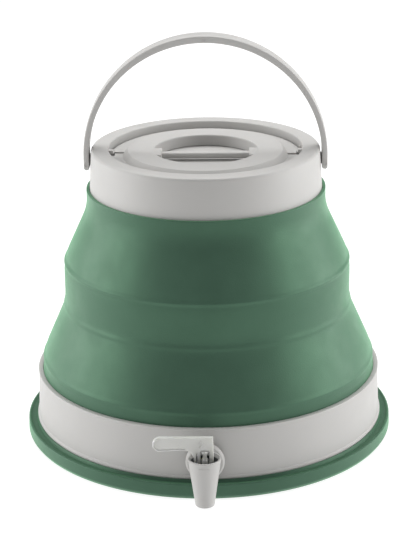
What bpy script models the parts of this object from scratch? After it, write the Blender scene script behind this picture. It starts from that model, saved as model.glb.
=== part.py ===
"""Folding water carrier with a tap.

A wide plastic base with a soft foot ring, a soft wall that folds down in two steps, a plastic
collar with a bail handle, a twist-and-lift lid with a finger grip, and a turn tap at the front.
The origin is on the ground under the middle of the base, +Z is up, and the tap points to -Y.
All sizes are in metres.
"""

import math

import bmesh
import bpy
from mathutils import Vector

# Driving dimensions
GAP = 0.0003             # left between pieces that touch
PLASTIC = 0.0024         # wall of the hard mouldings
SKIN = 0.0025            # wall of the soft folding part
RING_STEPS = 48          # facets of the large rings
SMALL_STEPS = 24         # facets of the tap's turned pieces

FOOT_R = 0.1425
FOOT_TOP_Z = 0.0130
FOOT_INNER_R = 0.1240

BASE_BOTTOM_R = 0.1340   # outer wall where it leaves the foot ring
BASE_TOP_R = 0.1326
BASE_BOTTOM_Z = 0.0047
BASE_GROOVE_Z = 0.0104
BASE_TOP_Z = 0.0518
FLOOR_TOP_Z = 0.0073
PAD_R = 0.0260           # pad under the floor, level with the foot ring

LOWER_R = 0.1290         # the three bands of the soft wall, and the heights where the cones start
MIDDLE_R = 0.1100
UPPER_R = 0.0910
LOWER_BAND_BOTTOM_Z = 0.0423
LOWER_BAND_TOP_Z = 0.0623
MIDDLE_BAND_BOTTOM_Z = 0.1053
MIDDLE_BAND_TOP_Z = 0.1393
UPPER_BAND_BOTTOM_Z = 0.1803
UPPER_BAND_TOP_Z = 0.1956

COLLAR_R = 0.0866
COLLAR_SKIRT_R = 0.0884
COLLAR_BOTTOM_Z = 0.1823
COLLAR_TOP_Z = 0.2263
COLLAR_EDGE = 0.0030     # rounding of the collar's outer top edge
MOUTH_R = 0.0733         # where the lid's flange goes in
NECK_R = 0.0680          # below the ledge that the gasket lies on
LEDGE_Z = 0.2156
NECK_BOTTOM_Z = 0.2023

LUG_REACH = 0.0033       # how far the bayonet lugs stand in from the mouth
LUG_WIDTH = 0.0044
LUG_BOTTOM_Z = 0.2204
LUG_TOP_Z = 0.2238

LID_FLANGE_R = 0.0725
LID_FLANGE_Z = 0.2201
LID_FLANGE_THICKNESS = 0.0022
LID_TOP_Z = 0.2242
LID_TOP_R = 0.0590
LID_SKIRT_R = 0.0630
RECESS_R = 0.0394
RECESS_FLOOR_R = 0.0366
RECESS_FLOOR_Z = 0.2156
PLUG_R = 0.0665
PLUG_BOTTOM_Z = 0.2063
GASKET_OUTER_R = 0.0696  # less than the reach of the lugs, so that it lifts past them
GRIP_WIDTH = 0.0070
GRIP_BOTTOM_Z = 0.2171
GRIP_TOP_Z = 0.2220
GUSSET_X = 0.0330        # the grip's front corners are filled from here outwards
GUSSET_DEPTH = 0.0160

PIVOT_Z = 0.2167
HANDLE_OUTER = (0.0925, 0.0961)   # half width, height above the pivots
HANDLE_INNER = (0.0880, 0.0905)
HANDLE_DEPTH = 0.0150
HANDLE_STEPS = 36
HANDLE_END = 0.0074      # how far the legs reach below the pivots
HANDLE_STRAIGHT = 0.0030   # how far the legs go straight up from the pivots
PIN_R = 0.0024
PIN_HEAD_R = 0.0040
PIN_HEAD = 0.0015
PIN_HOLE_R = 0.0027
PIN_BARB_R = 0.0031
BOSS_R = 0.0045

TAP_Z = 0.0286           # height of the tap's hole in the base
TAP_AXIS_Y = -0.1560     # the valve and the spout stand on this line
SEAT_Y = -0.1339         # flat faces of the base around the hole, outside and inside
SEAT_INNER_Y = -0.1272
SEAT_R = 0.0132
SEAT_INNER_R = 0.0115
SHANK_R = 0.0070
SHANK_END_Y = -0.1215
SHANK_HOLE_R = 0.0074
DUCT_R = 0.0036
WASHER_R = 0.0128
WASHER = 0.0018
DISC_R = 0.0142
DISC = 0.0035
BARREL_R = 0.0085
CUP_R = 0.0123
CUP_TOP_Z = 0.0403
CUP_FLOOR_Z = 0.0341
SPOUT_R = 0.0065
SPOUT_BOTTOM_Z = 0.0032
SPOUT_BORE_R = 0.0050
VALVE_BORE_R = 0.0070
VALVE_BORE_BOTTOM_Z = 0.0143
INNER_WASHER_R = 0.0108
INNER_WASHER = 0.0013
NUT_R = 0.0115
NUT = 0.0035

ROTOR_R = 0.0064
ROTOR_FLANGE_R = 0.0095
ROTOR_FLANGE = 0.0013    # the flange closes the cup's floor
ROTOR_TOP_Z = 0.0357
ROTOR_BOTTOM_Z = 0.0147
ROTOR_PORT_R = 0.0032
O_RING = 0.00065         # half the thickness of an O-ring
O_RING_LINE_R = 0.00575
GROOVE_R = 0.0050
GROOVE_HALF = 0.0008
UPPER_GROOVE_Z = 0.0331
LOWER_GROOVE_Z = 0.0183

LEVER_THICKNESS = 0.0035
LEVER_TOP_Z = 0.0565
LEVER_BOTTOM_Z = 0.0463
LEVER_TIP_X = -0.0369
LEVER_RIGHT_X = 0.0066
WINDOW = (-0.0029, 0.0036)        # x from the spout's axis
WINDOW_TOP_Z = 0.0463
LEFT_LEG_X = -0.0072

WHITE = (0.745, 0.735, 0.705)
GREEN = (0.075, 0.215, 0.135)
DARK_RUBBER = (0.045, 0.050, 0.048)
DARK_PLASTIC = (0.030, 0.032, 0.034)


def clear_scene():
    for old in list(bpy.data.objects):
        bpy.data.objects.remove(old, do_unlink=True)


def new_collection(name):
    made = bpy.data.collections.new(name)
    bpy.context.scene.collection.children.link(made)
    return made


def new_material(name, colour, roughness, metallic=0.0):
    made = bpy.data.materials.new(name)
    made.use_nodes = True
    shader = made.node_tree.nodes["Principled BSDF"]
    shader.inputs["Base Color"].default_value = (*colour, 1.0)
    shader.inputs["Roughness"].default_value = roughness
    shader.inputs["Metallic"].default_value = metallic
    made.diffuse_color = (*colour, 1.0)
    return made


def white_plastic(name):
    return new_material(name, WHITE, 0.42)


def green_rubber(name):
    return new_material(name, GREEN, 0.62)


def dark_rubber(name):
    return new_material(name, DARK_RUBBER, 0.70)


def dark_plastic(name):
    return new_material(name, DARK_PLASTIC, 0.50)


clear_scene()
PARTS = new_collection("folding_water_carrier")
TOOLS = new_collection("cutters")


def add(name, data, finish=None):
    """A part with its own material, or, without one, a helper that the build leaves out."""
    obj = bpy.data.objects.new(name, data)
    if finish is None:
        TOOLS.objects.link(obj)
        obj.hide_render = True
        obj.display_type = "WIRE"
    else:
        PARTS.objects.link(obj)
        data.materials.append(finish(name))
    return obj


def mesh_from(name, bm):
    mesh = bpy.data.meshes.new(name)
    bm.to_mesh(mesh)
    bm.free()
    return mesh


def turned(name, profile, finish=None, steps=RING_STEPS):
    """A solid turned about its own Z. The profile runs down the outer side, and is a closed
    ring unless it starts and ends on the axis."""
    bm = bmesh.new()
    points = [bm.verts.new((radius, 0.0, z)) for radius, z in profile]
    for start, end in zip(points, points[1:]):
        bm.edges.new((start, end))
    if profile[0][0] > 0.0:
        bm.edges.new((points[-1], points[0]))
    obj = add(name, mesh_from(name, bm), finish)
    screw = obj.modifiers.new("Turn", "SCREW")
    screw.steps = steps
    screw.render_steps = steps
    screw.use_merge_vertices = True
    screw.merge_threshold = 0.00001
    return obj


def rod(name, radius, start, end, finish=None, sides=SMALL_STEPS):
    """A cylinder between two points."""
    start = Vector(start)
    end = Vector(end)
    bm = bmesh.new()
    bmesh.ops.create_cone(
        bm,
        cap_ends=True,
        segments=sides,
        radius1=radius,
        radius2=radius,
        depth=(end - start).length,
    )
    obj = add(name, mesh_from(name, bm), finish)
    obj.location = (start + end) / 2
    obj.rotation_euler = (end - start).to_track_quat("Z", "Y").to_euler()
    return obj


def block(name, low, high):
    """A box between two corners."""
    low = Vector(low)
    high = Vector(high)
    bm = bmesh.new()
    bmesh.ops.create_cube(bm, size=1.0)
    bmesh.ops.scale(bm, vec=high - low, verts=bm.verts)
    obj = add(name, mesh_from(name, bm))
    obj.location = (low + high) / 2
    return obj


def plate(name, points, thickness, finish):
    """A flat outline in XZ, given as (x, z), made as thick as asked along Y."""
    curve = bpy.data.curves.new(name, "CURVE")
    curve.dimensions = "2D"
    curve.fill_mode = "BOTH"
    curve.extrude = thickness / 2
    spline = curve.splines.new("POLY")
    spline.points.add(len(points) - 1)
    for point, (x, z) in zip(spline.points, points):
        point.co = (x, z, 0.0, 1.0)
    spline.use_cyclic_u = True
    flat = bpy.data.objects.new(name, curve)
    TOOLS.objects.link(flat)
    bpy.context.view_layer.update()
    graph = bpy.context.evaluated_depsgraph_get()
    bm = bmesh.new()
    bm.from_mesh(bpy.data.meshes.new_from_object(flat.evaluated_get(graph)))
    bmesh.ops.remove_doubles(bm, verts=bm.verts, dist=0.000001)
    bpy.data.objects.remove(flat, do_unlink=True)
    obj = add(name, mesh_from(name, bm), finish)
    obj.rotation_euler = (math.pi / 2, 0.0, 0.0)
    return obj


def combine(obj, helper, operation):
    step = obj.modifiers.new(helper.name, "BOOLEAN")
    step.object = helper
    step.operation = operation
    step.solver = "EXACT"


def join(obj, helper):
    combine(obj, helper, "UNION")


def cut(obj, helper):
    combine(obj, helper, "DIFFERENCE")


def joint_axis(name, location):
    """The empty that marks a joint's axis."""
    empty = bpy.data.objects.new(name, None)
    empty.location = location
    empty.empty_display_size = 0.02
    PARTS.objects.link(empty)
    return empty


def hang(axis, *pieces):
    """Parents pieces to a joint's empty without moving them."""
    for piece in pieces:
        piece.parent = axis
        piece.location = piece.location - axis.location


def arc(centre, radius, start, end, steps):
    """Points round a centre, from one angle to another, in degrees."""
    turn = [math.radians(start + (end - start) * i / steps) for i in range(steps + 1)]
    return [(centre[0] + radius * math.cos(a), centre[1] + radius * math.sin(a)) for a in turn]


def ellipse_point(half_width, height, angle):
    """A point of the bow's outline as (x, height above the pivots)."""
    rise = (height - HANDLE_STRAIGHT) * math.sin(angle)
    return half_width * math.cos(angle), HANDLE_STRAIGHT + rise


# Base


def foot_ring():
    """Soft ring that grips the bottom edge of the base and is what stands on the ground."""
    inside = BASE_BOTTOM_R + GAP
    profile = [
        (inside, BASE_GROOVE_Z),
        (0.1360, FOOT_TOP_Z - 0.0007),
        (0.1375, FOOT_TOP_Z),
        (0.1398, FOOT_TOP_Z),
        (0.1418, FOOT_TOP_Z - 0.0012),
        (FOOT_R, FOOT_TOP_Z - 0.0034),
        (FOOT_R, 0.0032),
        (0.1417, 0.0010),
        (0.1397, 0.0),
        (FOOT_INNER_R, 0.0),
        (FOOT_INNER_R, BASE_BOTTOM_Z - GAP),
        (inside, BASE_BOTTOM_Z - GAP),
    ]
    return turned("foot_ring", profile, green_rubber)


def base_shell():
    """Hard tray: floor, pad and outer wall, a ledge for the soft wall, and the tap's seat."""
    inside = LOWER_R + GAP
    profile = [
        (0.0, FLOOR_TOP_Z),
        (0.1262, FLOOR_TOP_Z),
        (0.1296, FLOOR_TOP_Z + 0.0016),
        (0.1308, FLOOR_TOP_Z + 0.0050),
        (inside, LOWER_BAND_BOTTOM_Z - 0.0022),
        (0.1268, LOWER_BAND_BOTTOM_Z - 0.0012),
        (0.1268, LOWER_BAND_BOTTOM_Z - GAP),
        (inside, LOWER_BAND_BOTTOM_Z - GAP),
        (inside, BASE_TOP_Z - 0.0005),
        (inside + 0.0004, BASE_TOP_Z),
        (BASE_TOP_R - 0.0005, BASE_TOP_Z),
        (BASE_TOP_R, BASE_TOP_Z - 0.0006),
        (BASE_BOTTOM_R, BASE_GROOVE_Z),
        (BASE_BOTTOM_R, BASE_BOTTOM_Z),
        (PAD_R + 0.0006, BASE_BOTTOM_Z),
        (PAD_R, 0.0),
        (0.0, 0.0),
    ]
    shell = turned("base_shell", profile, white_plastic)
    join(shell, rod("tap_seat", SEAT_R, (0, -0.1302, TAP_Z), (0, SEAT_Y, TAP_Z)))
    join(shell, rod("tap_inner_seat", SEAT_INNER_R, (0, SEAT_INNER_Y, TAP_Z), (0, -0.1310, TAP_Z)))
    cut(shell, rod("tap_hole", SHANK_HOLE_R, (0, -0.1200, TAP_Z), (0, -0.1400, TAP_Z)))
    return shell


# Soft folding wall


def band(name, radius, inner_radius, bottom, top, edge):
    """An upright ring of the wall, rounded off at its outer edges."""
    profile = [
        (radius - edge, top),
        (radius, top - edge),
        (radius, bottom + edge),
        (radius - edge, bottom),
        (inner_radius, bottom),
        (inner_radius, top),
    ]
    return turned(name, profile, green_rubber)


def cone(name, top_radius, top, bottom_radius, bottom):
    """A sloping ring of the wall, which turns inside out when the carrier folds."""
    profile = [
        (top_radius, top - GAP),
        (bottom_radius, bottom + GAP),
        (bottom_radius - SKIN, bottom + GAP),
        (top_radius - SKIN, top - GAP),
    ]
    return turned(name, profile, green_rubber)


def folding_wall():
    edge = 0.0004
    lower = band(
        "wall_lower_band", LOWER_R, LOWER_R - SKIN, LOWER_BAND_BOTTOM_Z, LOWER_BAND_TOP_Z, edge
    )
    lower_cone = cone(
        "wall_lower_cone", MIDDLE_R, MIDDLE_BAND_BOTTOM_Z, LOWER_R, LOWER_BAND_TOP_Z
    )
    middle = band(
        "wall_middle_band", MIDDLE_R, MIDDLE_R - SKIN, MIDDLE_BAND_BOTTOM_Z, MIDDLE_BAND_TOP_Z, edge
    )
    upper_cone = cone(
        "wall_upper_cone", UPPER_R, UPPER_BAND_BOTTOM_Z, MIDDLE_R, MIDDLE_BAND_TOP_Z
    )
    upper = band(
        "wall_upper_band", UPPER_R, COLLAR_SKIRT_R + GAP, UPPER_BAND_BOTTOM_Z, UPPER_BAND_TOP_Z, edge
    )
    return lower, lower_cone, middle, upper_cone, upper


# Collar, lid and handle


def collar():
    """Hard ring at the top: skirt, flat top, and the neck with the ledge for the gasket."""
    under_top = COLLAR_TOP_Z - PLASTIC
    neck_outer = NECK_R + PLASTIC
    mouth_outer = MOUTH_R + PLASTIC
    centre = (COLLAR_R - COLLAR_EDGE, COLLAR_TOP_Z - COLLAR_EDGE)
    profile = [
        *arc(centre, COLLAR_EDGE, 90, 5, 3),
        (COLLAR_SKIRT_R, UPPER_BAND_TOP_Z),
        (COLLAR_SKIRT_R, COLLAR_BOTTOM_Z),
        (COLLAR_SKIRT_R - PLASTIC, COLLAR_BOTTOM_Z),
        (COLLAR_SKIRT_R - PLASTIC, UPPER_BAND_TOP_Z),
        (COLLAR_R - PLASTIC, under_top - 0.0020),
        (COLLAR_R - 0.0040, under_top),
        (mouth_outer, under_top),
        (mouth_outer, LEDGE_Z - PLASTIC),
        (neck_outer, LEDGE_Z - PLASTIC),
        (neck_outer, NECK_BOTTOM_Z),
        (NECK_R, NECK_BOTTOM_Z),
        (NECK_R, LEDGE_Z),
        (MOUTH_R, LEDGE_Z),
        (MOUTH_R, COLLAR_TOP_Z - 0.0006),
        (MOUTH_R + 0.0006, COLLAR_TOP_Z),
    ]
    ring = turned("collar", profile, white_plastic)
    for side, word in ((-1, "left"), (1, "right")):
        boss_end = (side * (HANDLE_INNER[0] - GAP), 0, PIVOT_Z)
        join(ring, rod(f"pivot_boss_{word}", BOSS_R, (side * 0.0852, 0, PIVOT_Z), boss_end))
        ends = sorted((side * (MOUTH_R - LUG_REACH), side * (MOUTH_R + 0.0010)))
        low = (ends[0], -LUG_WIDTH / 2, LUG_BOTTOM_Z)
        high = (ends[1], LUG_WIDTH / 2, LUG_TOP_Z)
        join(ring, block(f"bayonet_lug_{word}", low, high))
        hole = (side * 0.0800, 0, PIVOT_Z)
        cut(ring, rod(f"pivot_hole_{word}", PIN_HOLE_R, hole, (side * 0.0950, 0, PIVOT_Z)))
    return ring


def lid_top():
    """The lid's upper moulding: flange, raised ring, the finger recess's wall and the grip."""
    under_flange = LID_FLANGE_Z - LID_FLANGE_THICKNESS
    under_top = LID_TOP_Z - 0.0022
    wall_bottom = RECESS_FLOOR_Z + GAP
    profile = [
        (LID_TOP_R - 0.0012, LID_TOP_Z),
        (LID_TOP_R + 0.0006, LID_TOP_Z - 0.0007),
        (LID_SKIRT_R, LID_FLANGE_Z),
        (LID_FLANGE_R - 0.0005, LID_FLANGE_Z),
        (LID_FLANGE_R, LID_FLANGE_Z - 0.0005),
        (LID_FLANGE_R, under_flange),
        (0.0600, under_flange),
        (0.0570, under_top),
        (RECESS_R + 0.0026, under_top),
        (RECESS_FLOOR_R + 0.0022, wall_bottom),
        (RECESS_FLOOR_R, wall_bottom),
        (RECESS_R - 0.0006, LID_TOP_Z - 0.0012),
        (RECESS_R + 0.0006, LID_TOP_Z),
    ]
    top = turned("lid_top", profile, white_plastic)
    half = GRIP_WIDTH / 2
    reach = RECESS_R + 0.0008
    join(top, block("grip", (-reach, -half, GRIP_BOTTOM_Z), (reach, half, GRIP_TOP_Z)))
    for side, word in ((-1, "left"), (1, "right")):
        ends = sorted((side * GUSSET_X, side * (RECESS_R - 0.0004)))
        low = (ends[0], -GUSSET_DEPTH, GRIP_BOTTOM_Z - 0.0004)
        high = (ends[1], half - 0.0006, LID_TOP_Z - 0.0002)
        join(top, block(f"grip_gusset_{word}", low, high))
        ends = sorted((side * (MOUTH_R - LUG_REACH - 0.0012), side * (MOUTH_R + 0.0020)))
        low = (ends[0], -LUG_WIDTH / 2 - 0.0011, under_flange - 0.0020)
        high = (ends[1], LUG_WIDTH / 2 + 0.0011, LID_FLANGE_Z + 0.0020)
        cut(top, block(f"flange_notch_{word}", low, high))
    return top


def lid_plug():
    """The lid's lower moulding: the floor of the finger recess and the plug in the neck."""
    rim_z = LID_FLANGE_Z - LID_FLANGE_THICKNESS - GAP
    inside = PLUG_R - PLASTIC
    profile = [
        (0.0, RECESS_FLOOR_Z),
        (inside, RECESS_FLOOR_Z),
        (inside, rim_z),
        (PLUG_R, rim_z),
        (PLUG_R, PLUG_BOTTOM_Z),
        (inside, PLUG_BOTTOM_Z),
        (inside, RECESS_FLOOR_Z - PLASTIC),
        (0.0, RECESS_FLOOR_Z - PLASTIC),
    ]
    return turned("lid_plug", profile, white_plastic)


def lid_gasket():
    """Flat gasket between the lid's flange and the collar's ledge."""
    bottom = LEDGE_Z + GAP
    top = LID_FLANGE_Z - LID_FLANGE_THICKNESS - GAP
    inside = PLUG_R + 0.0006
    profile = [(GASKET_OUTER_R, top), (GASKET_OUTER_R, bottom), (inside, bottom), (inside, top)]
    return turned("lid_gasket", profile, dark_rubber)


def leg_end(side):
    """Rounded end of one leg, in the order that the bow's outline needs."""
    radius = (HANDLE_OUTER[0] - HANDLE_INNER[0]) / 2
    centre = ((HANDLE_OUTER[0] + HANDLE_INNER[0]) / 2, radius - HANDLE_END)
    curve = arc(centre, radius, 180, 360, 6)
    return curve if side > 0 else [(-x, z) for x, z in reversed(curve)]


def handle():
    """Bail handle: a bow of constant depth with a hole and a sunk pin seat near each end."""
    turn = [math.pi * i / HANDLE_STEPS for i in range(HANDLE_STEPS + 1)]
    outer = [ellipse_point(*HANDLE_OUTER, angle) for angle in turn]
    inner = [ellipse_point(*HANDLE_INNER, angle) for angle in reversed(turn)]
    left_end = leg_end(-1)
    points = [(x, z + PIVOT_Z) for x, z in outer + left_end + inner + leg_end(1)]
    bow = plate("handle", points, HANDLE_DEPTH, white_plastic)
    inside = HANDLE_INNER[0]
    outside = HANDLE_OUTER[0]
    seat = outside - PIN_HEAD - 2 * GAP
    for side, word in ((-1, "left"), (1, "right")):
        far = (side * (outside + 0.0100), 0, PIVOT_Z)
        near = (side * (inside - 0.0100), 0, PIVOT_Z)
        cut(bow, rod(f"handle_hole_{word}", PIN_HOLE_R, near, far))
        cut(bow, rod(f"handle_pin_seat_{word}", PIN_HEAD_R + GAP, (side * seat, 0, PIVOT_Z), far))
    return bow


def pivot_pin(side, word):
    """Headed pin pushed through the handle's hole, with a barb that snaps behind the collar."""
    barb_start = -0.0082
    barb_end = -0.0105
    profile = [
        (0.0, 0.0),
        (PIN_HEAD_R, 0.0),
        (PIN_HEAD_R, -PIN_HEAD),
        (PIN_R, -PIN_HEAD),
        (PIN_R, barb_start),
        (PIN_BARB_R, barb_start),
        (PIN_R - 0.0004, barb_end),
        (0.0, barb_end),
    ]
    pin = turned(f"handle_pivot_pin_{word}", profile, white_plastic, 16)
    pin.location = (side * (HANDLE_OUTER[0] - GAP), 0.0, PIVOT_Z)
    pin.rotation_euler = (0.0, side * math.pi / 2, 0.0)
    return pin


# Tap


def tap_body():
    """Shank, disc and barrel along Y, joined to the upright cup and spout, with both bores."""
    cup = [
        (0.0, CUP_TOP_Z),
        (CUP_R - 0.0006, CUP_TOP_Z),
        (CUP_R, CUP_TOP_Z - 0.0006),
        (SPOUT_R, SPOUT_BOTTOM_Z + 0.0010),
        (SPOUT_R - 0.0006, SPOUT_BOTTOM_Z),
        (0.0, SPOUT_BOTTOM_Z),
    ]
    body = turned("tap_body", cup, white_plastic, SMALL_STEPS)
    body.location = (0.0, TAP_AXIS_Y, 0.0)
    disc_back = SEAT_Y - WASHER - 2 * GAP
    disc_front = disc_back - DISC
    shank = [
        (0.0, -SHANK_END_Y),
        (SHANK_R, -SHANK_END_Y),
        (SHANK_R, -disc_back),
        (DISC_R, -disc_back),
        (DISC_R, -disc_front - 0.0012),
        (DISC_R - 0.0012, -disc_front),
        (BARREL_R, -disc_front),
        (BARREL_R, 0.1515),
        (0.0, 0.1515),
    ]
    # This profile is listed from the wall outwards, so it is turned round to run top to bottom.
    shank.reverse()
    barrel = turned("tap_barrel", shank, None, SMALL_STEPS)
    barrel.location = (0.0, 0.0, TAP_Z)
    barrel.rotation_euler = (math.pi / 2, 0.0, 0.0)
    join(body, barrel)
    bore = [
        (0.0, CUP_TOP_Z + 0.0060),
        (CUP_R - 0.0010, CUP_TOP_Z + 0.0060),
        (CUP_R - 0.0013, CUP_TOP_Z - 0.0020),
        (CUP_R - 0.0020, CUP_FLOOR_Z),
        (VALVE_BORE_R, CUP_FLOOR_Z),
        (VALVE_BORE_R, VALVE_BORE_BOTTOM_Z),
        (SPOUT_BORE_R, VALVE_BORE_BOTTOM_Z),
        (SPOUT_BORE_R, SPOUT_BOTTOM_Z - 0.0050),
        (0.0, SPOUT_BOTTOM_Z - 0.0050),
    ]
    valve_bore = turned("tap_valve_bore", bore, None, SMALL_STEPS)
    valve_bore.location = (0.0, TAP_AXIS_Y, 0.0)
    cut(body, valve_bore)
    cut(body, rod("tap_duct", DUCT_R, (0, -0.1100, TAP_Z), (0, -0.1530, TAP_Z)))
    return body


def washer(name, radius, start_y, thickness):
    """Flat rubber washer on the tap's shank, growing towards -Y."""
    profile = [(radius, thickness), (radius, 0.0), (SHANK_HOLE_R, 0.0), (SHANK_HOLE_R, thickness)]
    ring = turned(name, profile, dark_rubber, SMALL_STEPS)
    ring.location = (0.0, start_y, TAP_Z)
    ring.rotation_euler = (math.pi / 2, 0.0, 0.0)
    return ring


def tap_washers():
    outer = washer("tap_outer_washer", WASHER_R, SEAT_Y - GAP, WASHER)
    start = SEAT_INNER_Y + GAP + INNER_WASHER
    inner = washer("tap_inner_washer", INNER_WASHER_R, start, INNER_WASHER)
    return outer, inner


def tap_nut():
    """Six-sided nut that holds the tap from inside."""
    far = SEAT_INNER_Y + INNER_WASHER + 2 * GAP
    near = far + NUT
    nut = rod("tap_nut", NUT_R, (0, near, TAP_Z), (0, far, TAP_Z), white_plastic, 6)
    cut(nut, rod("nut_hole", SHANK_HOLE_R, (0, near + 0.01, TAP_Z), (0, far - 0.01, TAP_Z)))
    return nut


def tap_rotor():
    """Valve plug with two O-ring grooves. Water enters its side port and leaves downwards."""
    profile = [
        (0.0, ROTOR_TOP_Z),
        (ROTOR_FLANGE_R, ROTOR_TOP_Z),
        (ROTOR_FLANGE_R, ROTOR_TOP_Z - ROTOR_FLANGE),
        (ROTOR_R, ROTOR_TOP_Z - ROTOR_FLANGE),
    ]
    for groove in (UPPER_GROOVE_Z, LOWER_GROOVE_Z):
        profile += [
            (ROTOR_R, groove + GROOVE_HALF),
            (GROOVE_R, groove + GROOVE_HALF),
            (GROOVE_R, groove - GROOVE_HALF),
            (ROTOR_R, groove - GROOVE_HALF),
        ]
    profile += [
        (ROTOR_R, ROTOR_BOTTOM_Z),
        (DUCT_R, ROTOR_BOTTOM_Z),
        (DUCT_R, ROTOR_TOP_Z - 0.0039),
        (0.0, ROTOR_TOP_Z - 0.0039),
    ]
    rotor = turned("tap_rotor", profile, dark_plastic, SMALL_STEPS)
    rotor.location = (0.0, TAP_AXIS_Y, 0.0)
    start = (0.0, TAP_AXIS_Y, TAP_Z)
    cut(rotor, rod("rotor_port", ROTOR_PORT_R, start, (0.0100, TAP_AXIS_Y, TAP_Z), None, 16))
    return rotor


def rotor_o_ring(name, z):
    ring = turned(name, arc((O_RING_LINE_R, z), O_RING, 90, -210, 5), dark_rubber, SMALL_STEPS)
    ring.location = (0.0, TAP_AXIS_Y, 0.0)
    return ring


def tap_lever():
    """Upright paddle on two legs that straddle the stem and stand on the rotor."""
    foot = ROTOR_TOP_Z + GAP
    half = (LEVER_TOP_Z - LEVER_BOTTOM_Z) / 2
    tip = (LEVER_TIP_X + half, LEVER_BOTTOM_Z + half)
    corner = 0.0008
    points = [
        (LEVER_RIGHT_X - 0.0006, LEVER_TOP_Z),
        (LEVER_RIGHT_X, LEVER_TOP_Z - 0.0060),
        (LEVER_RIGHT_X, foot),
        (WINDOW[1], foot),
        (WINDOW[1], WINDOW_TOP_Z - corner),
        (WINDOW[1] - corner, WINDOW_TOP_Z),
        (WINDOW[0] + corner, WINDOW_TOP_Z),
        (WINDOW[0], WINDOW_TOP_Z - corner),
        (WINDOW[0], foot),
        (LEFT_LEG_X + 0.0022, foot),
        (LEFT_LEG_X, foot + 0.0020),
        *arc((LEFT_LEG_X - 0.0050, LEVER_BOTTOM_Z - 0.0050), 0.0050, 0, 90, 4),
        *arc(tip, half, 270, 90, 8),
    ]
    lever = plate("tap_lever", points, LEVER_THICKNESS, white_plastic)
    lever.location = (0.0, TAP_AXIS_Y, 0.0)
    return lever


def tap_stem():
    """Waisted stem between the lever's legs, which ties the lever to the rotor."""
    top = WINDOW_TOP_Z - GAP
    profile = [
        (0.0, top),
        (0.0028, top),
        (0.0028, top - 0.0014),
        (0.0015, top - 0.0031),
        (0.0015, top - 0.0054),
        (0.0025, top - 0.0071),
        (0.0025, ROTOR_TOP_Z + GAP),
        (0.0, ROTOR_TOP_Z + GAP),
    ]
    stem = turned("tap_stem", profile, white_plastic, 16)
    stem.location = ((WINDOW[0] + WINDOW[1]) / 2, TAP_AXIS_Y, 0.0)
    return stem


def build():
    foot_ring()
    base_shell()
    _, _, middle, upper_cone, upper = folding_wall()
    hang(joint_axis("lower_fold_axis", (0, 0, MIDDLE_BAND_BOTTOM_Z)), middle, upper_cone)
    pins = [pivot_pin(side, word) for side, word in ((-1, "left"), (1, "right"))]
    hang(joint_axis("upper_fold_axis", (0, 0, UPPER_BAND_BOTTOM_Z)), upper, collar(), *pins)
    hang(joint_axis("lid_axis", (0, 0, LEDGE_Z)), lid_top(), lid_plug(), lid_gasket())
    hang(joint_axis("handle_axis", (0, 0, PIVOT_Z)), handle())
    tap_body()
    tap_washers()
    tap_nut()
    rings = [
        rotor_o_ring("tap_upper_o_ring", UPPER_GROOVE_Z),
        rotor_o_ring("tap_lower_o_ring", LOWER_GROOVE_Z),
    ]
    axis = joint_axis("tap_axis", (0, TAP_AXIS_Y, TAP_Z))
    hang(axis, tap_rotor(), *rings, tap_lever(), tap_stem())


build()
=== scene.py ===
"""Looks of the folding water carrier: fine surfaces round the CAD frame, materials and studio.

Everything is in metres in the frame's own axes: the origin is on the ground under the base, +Z is
up, the tap points to -Y and the handle's pivots lie on X.
"""

import math

import bmesh
import bpy
from mathutils import Matrix, Vector


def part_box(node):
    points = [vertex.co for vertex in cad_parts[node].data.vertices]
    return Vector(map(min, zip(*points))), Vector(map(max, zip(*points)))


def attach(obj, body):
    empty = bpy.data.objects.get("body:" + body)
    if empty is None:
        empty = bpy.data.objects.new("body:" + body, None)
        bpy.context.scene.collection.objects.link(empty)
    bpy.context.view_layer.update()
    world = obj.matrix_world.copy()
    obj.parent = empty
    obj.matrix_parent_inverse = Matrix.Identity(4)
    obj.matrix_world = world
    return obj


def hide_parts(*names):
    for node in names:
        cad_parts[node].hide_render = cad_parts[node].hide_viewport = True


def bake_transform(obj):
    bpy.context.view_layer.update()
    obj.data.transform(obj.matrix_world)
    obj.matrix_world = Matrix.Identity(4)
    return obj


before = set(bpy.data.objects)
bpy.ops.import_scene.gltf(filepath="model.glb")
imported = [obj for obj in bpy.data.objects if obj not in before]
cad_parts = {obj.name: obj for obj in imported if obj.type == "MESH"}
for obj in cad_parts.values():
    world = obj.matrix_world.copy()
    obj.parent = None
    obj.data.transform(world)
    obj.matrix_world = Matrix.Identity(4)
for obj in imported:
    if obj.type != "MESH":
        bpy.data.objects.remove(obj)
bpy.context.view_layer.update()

RING_STEPS = 192
SMALL_STEPS = 72
BOW_STEPS = 144
CORNER_STEPS = 4
CORNER = 0.0005          # rounding of a moulded edge where nothing else is said

# Places read from the frame
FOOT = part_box("foot_ring")
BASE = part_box("base_shell")
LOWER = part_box("wall_lower_band")
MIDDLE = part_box("wall_middle_band")
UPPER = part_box("wall_upper_band")
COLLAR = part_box("collar")
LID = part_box("lid_top")
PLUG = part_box("lid_plug")
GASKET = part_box("lid_gasket")
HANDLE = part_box("handle")
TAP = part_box("tap_body")
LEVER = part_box("tap_lever")
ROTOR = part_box("tap_rotor")
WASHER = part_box("tap_outer_washer")
INNER_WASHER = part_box("tap_inner_washer")
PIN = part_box("handle_pivot_pin_right")

GAP = 0.0003             # left between pieces that touch
PLASTIC = 0.0024
SKIN = 0.0025

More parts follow.
